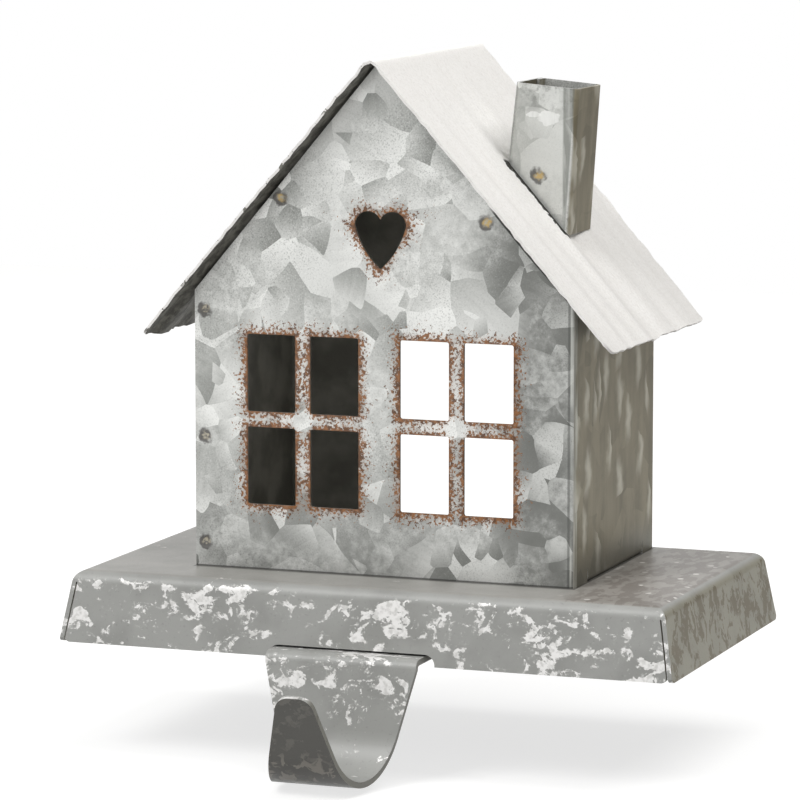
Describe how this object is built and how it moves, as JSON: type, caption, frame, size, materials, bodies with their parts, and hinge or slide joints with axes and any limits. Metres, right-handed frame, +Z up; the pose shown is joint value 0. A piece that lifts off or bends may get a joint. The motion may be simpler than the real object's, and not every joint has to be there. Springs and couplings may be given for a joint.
{
  "type": "mantel stocking holder",
  "caption": "Sheet metal cottage with window openings and a chimney on a weighted base, with a tapered strap hook in front that hangs a stocking over a shelf's edge.",
  "frame": {"origin": "middle of the base's footprint, on the underside of the base pad where it rests on the shelf", "axes": "+X to the right seen from the front, the front and its hook face -Y, +Z up"},
  "size_m": [0.15, 0.1234, 0.1619],
  "materials": {
    "galvanised_sheet": "galvanised with large spangle, rust stipple round the openings",
    "leafed_grey_paint": "satin grey paint with broken flakes of silver leaf",
    "sanded_white_paint": "matt warm white paint with fine sand in it",
    "cast_iron": "as cast, painted dark grey",
    "black_rubber": "matt, fine cells",
    "zinc_screw": "zinc plated"
  },
  "bodies": {
    "root": {"base_pan": "leafed_grey_paint", "base_weight": "cast_iron", "base_pad": "black_rubber", "hook": "leafed_grey_paint", "hook_screws": "zinc_screw", "house_walls": "galvanised_sheet", "house_screws": "zinc_screw", "roof": "sanded_white_paint", "chimney": "galvanised_sheet", "chimney_clip_front": "galvanised_sheet", "chimney_clip_back": "galvanised_sheet", "roof_clip_front_left": "galvanised_sheet", "roof_clip_front_right": "galvanised_sheet", "roof_clip_back_left": "galvanised_sheet", "roof_clip_back_right": "galvanised_sheet"}
  },
  "joints": []
}
